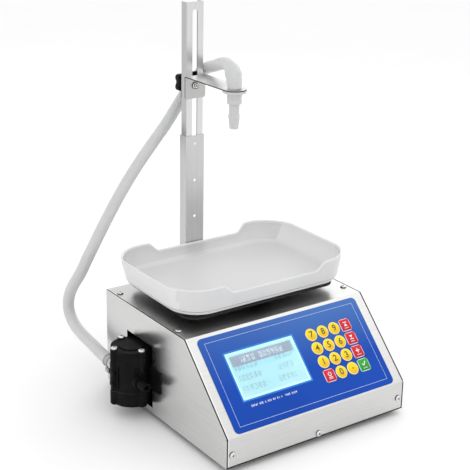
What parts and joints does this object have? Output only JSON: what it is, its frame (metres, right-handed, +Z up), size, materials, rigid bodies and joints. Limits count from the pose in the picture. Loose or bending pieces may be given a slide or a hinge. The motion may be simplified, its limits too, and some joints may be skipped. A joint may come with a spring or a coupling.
{
  "type": "weighing liquid filling machine",
  "caption": "Bench-top liquid filler: stainless housing with sloped keypad panel, weighing tray, side pump, hose, and a nozzle on a height-adjustable slotted post.",
  "frame": {"origin": "middle of the bounding box's underside, hose left out, on the surface the feet stand on", "axes": "+Z up along the post, +Y towards the back of the housing, +X to the right seen from the control panel"},
  "size_m": [0.3466, 0.3924, 0.5465],
  "materials": {
    "housing_steel": "satin",
    "post_steel": "satin",
    "screw_steel": "polished",
    "foot_rubber": "matte",
    "panel_blue": "satin",
    "display_clear": "gloss",
    "display_screen": "gloss",
    "board_green": "satin",
    "key_yellow": "satin",
    "key_red": "satin",
    "key_green": "satin",
    "tray_white": "satin",
    "platform_black": "matte",
    "cast_aluminium": "matte",
    "nozzle_plastic": "satin",
    "hose_silicone": "satin",
    "pump_black": "satin",
    "switch_black": "satin",
    "motor_steel": "matte",
    "gear_plastic": "matte",
    "supply_case": "matte"
  },
  "bodies": {
    "root": {"base_pan": "housing_steel", "board_standoffs": "supply_case", "bracket_nuts": "screw_steel", "control_board": "board_green", "cover_screws": "screw_steel", "display_window": "display_clear", "hose": "hose_silicone", "hose_clamp": "screw_steel", "keypad_board": "board_green", "lcd_glass": "display_screen", "lcd_module": "board_green", "load_cell": "cast_aluminium", "load_cell_base": "cast_aluminium", "load_cell_bolts": "screw_steel", "motor_stator": "motor_steel", "panel_overlay": "panel_blue", "post_channel": "post_steel", "post_screws": "screw_steel", "power_inlet": "switch_black", "power_supply": "supply_case", "pump_body": "pump_black", "pump_bottom_cover": "pump_black", "pump_bracket": "pump_black", "pump_gasket": "foot_rubber", "pump_screws": "screw_steel", "pump_top_cap": "pump_black", "rubber_feet": "foot_rubber", "slotted_strip": "post_steel", "switch_frame": "switch_black", "top_cover": "housing_steel"},
    "platform": {"platform": "platform_black", "tray_pads": "foot_rubber"},
    "tray": {"tray": "tray_white"},
    "arm": {"nozzle_arm": "post_steel", "clamp_screw": "screw_steel", "clamp_plate": "pump_black", "nozzle": "nozzle_plastic"},
    "knob": {"clamp_knob": "pump_black"},
    "pump_drive": {"motor_rotor": "motor_steel", "drive_gear": "gear_plastic"},
    "pump_driven": {"driven_gear": "gear_plastic"},
    "rocker": {"switch_rocker": "switch_black"},
    "body_key_7": {"key_7": "key_yellow"},
    "body_key_8": {"key_8": "key_yellow"},
    "body_key_9": {"key_9": "key_yellow"},
    "body_key_red_a": {"key_red_a": "key_red"},
    "body_key_4": {"key_4": "key_yellow"},
    "body_key_5": {"key_5": "key_yellow"},
    "body_key_6": {"key_6": "key_yellow"},
    "body_key_red_b": {"key_red_b": "key_red"},
    "body_key_1": {"key_1": "key_yellow"},
    "body_key_2": {"key_2": "key_yellow"},
    "body_key_3": {"key_3": "key_yellow"},
    "body_key_red_c": {"key_red_c": "key_red"},
    "body_key_red_d": {"key_red_d": "key_red"},
    "body_key_0": {"key_0": "key_yellow"},
    "body_key_dot": {"key_dot": "key_yellow"},
    "body_key_green": {"key_green": "key_green"}
  },
  "joints": [
    {"name": "arm_slide", "type": "slide", "parent": "root", "child": "arm", "axis": [0, 0, 1], "range_m": [-0.053, 0.1], "deforming": ["hose"]},
    {"name": "knob_turn", "type": "hinge", "parent": "arm", "child": "knob", "pos_m": [0.0233, 0.1525, 0.429], "axis": [0, 1, 0], "continuous": true},
    {"name": "platform_sink", "type": "slide", "parent": "root", "child": "platform", "axis": [0, 0, -1], "range_m": [0, 0.0005], "stiffness_N_per_m": 60000, "springref_m": -0.0005},
    {"name": "tray_lift", "type": "slide", "parent": "platform", "child": "tray", "axis": [0, 0, 1], "range_m": [0, 0.06]},
    {"name": "pump_spin", "type": "hinge", "parent": "root", "child": "pump_drive", "pos_m": [-0.1397, 0.0449, 0.075], "axis": [0, 0, 1], "continuous": true},
    {"name": "idler_spin", "type": "hinge", "parent": "root", "child": "pump_driven", "pos_m": [-0.1527, 0.0449, 0.0428], "axis": [0, 0, 1], "continuous": true},
    {"name": "switch_tilt", "type": "hinge", "parent": "root", "child": "rocker", "pos_m": [0.0753, 0.1344, 0.079], "axis": [1, 0, 0], "range_deg": [0, 20]},
    {"name": "press_7", "type": "slide", "parent": "root", "child": "body_key_7", "axis": [0, 0.7071, -0.7071], "range_m": [0, 0.0005], "stiffness_N_per_m": 3000, "springref_m": -0.0002},
    {"name": "press_8", "type": "slide", "parent": "root", "child": "body_key_8", "axis": [0, 0.7071, -0.7071], "range_m": [0, 0.0005], "stiffness_N_per_m": 3000, "springref_m": -0.0002},
    {"name": "press_9", "type": "slide", "parent": "root", "child": "body_key_9", "axis": [0, 0.7071, -0.7071], "range_m": [0, 0.0005], "stiffness_N_per_m": 3000, "springref_m": -0.0002},
    {"name": "press_red_a", "type": "slide", "parent": "root", "child": "body_key_red_a", "axis": [0, 0.7071, -0.7071], "range_m": [0, 0.0005], "stiffness_N_per_m": 3000, "springref_m": -0.0002},
    {"name": "press_4", "type": "slide", "parent": "root", "child": "body_key_4", "axis": [0, 0.7071, -0.7071], "range_m": [0, 0.0005], "stiffness_N_per_m": 3000, "springref_m": -0.0002},
    {"name": "press_5", "type": "slide", "parent": "root", "child": "body_key_5", "axis": [0, 0.7071, -0.7071], "range_m": [0, 0.0005], "stiffness_N_per_m": 3000, "springref_m": -0.0002},
    {"name": "press_6", "type": "slide", "parent": "root", "child": "body_key_6", "axis": [0, 0.7071, -0.7071], "range_m": [0, 0.0005], "stiffness_N_per_m": 3000, "springref_m": -0.0002},
    {"name": "press_red_b", "type": "slide", "parent": "root", "child": "body_key_red_b", "axis": [0, 0.7071, -0.7071], "range_m": [0, 0.0005], "stiffness_N_per_m": 3000, "springref_m": -0.0002},
    {"name": "press_1", "type": "slide", "parent": "root", "child": "body_key_1", "axis": [0, 0.7071, -0.7071], "range_m": [0, 0.0005], "stiffness_N_per_m": 3000, "springref_m": -0.0002},
    {"name": "press_2", "type": "slide", "parent": "root", "child": "body_key_2", "axis": [0, 0.7071, -0.7071], "range_m": [0, 0.0005], "stiffness_N_per_m": 3000, "springref_m": -0.0002},
    {"name": "press_3", "type": "slide", "parent": "root", "child": "body_key_3", "axis": [0, 0.7071, -0.7071], "range_m": [0, 0.0005], "stiffness_N_per_m": 3000, "springref_m": -0.0002},
    {"name": "press_red_c", "type": "slide", "parent": "root", "child": "body_key_red_c", "axis": [0, 0.7071, -0.7071], "range_m": [0, 0.0005], "stiffness_N_per_m": 3000, "springref_m": -0.0002},
    {"name": "press_red_d", "type": "slide", "parent": "root", "child": "body_key_red_d", "axis": [0, 0.7071, -0.7071], "range_m": [0, 0.0005], "stiffness_N_per_m": 3000, "springref_m": -0.0002},
    {"name": "press_0", "type": "slide", "parent": "root", "child": "body_key_0", "axis": [0, 0.7071, -0.7071], "range_m": [0, 0.0005], "stiffness_N_per_m": 3000, "springref_m": -0.0002},
    {"name": "press_dot", "type": "slide", "parent": "root", "child": "body_key_dot", "axis": [0, 0.7071, -0.7071], "range_m": [0, 0.0005], "stiffness_N_per_m": 3000, "springref_m": -0.0002},
    {"name": "press_green", "type": "slide", "parent": "root", "child": "body_key_green", "axis": [0, 0.7071, -0.7071], "range_m": [0, 0.0005], "stiffness_N_per_m": 3000, "springref_m": -0.0002}
  ],
  "couplings": [
    {"joint": "idler_spin", "follows": "pump_spin", "ratio": -1}
  ]
}
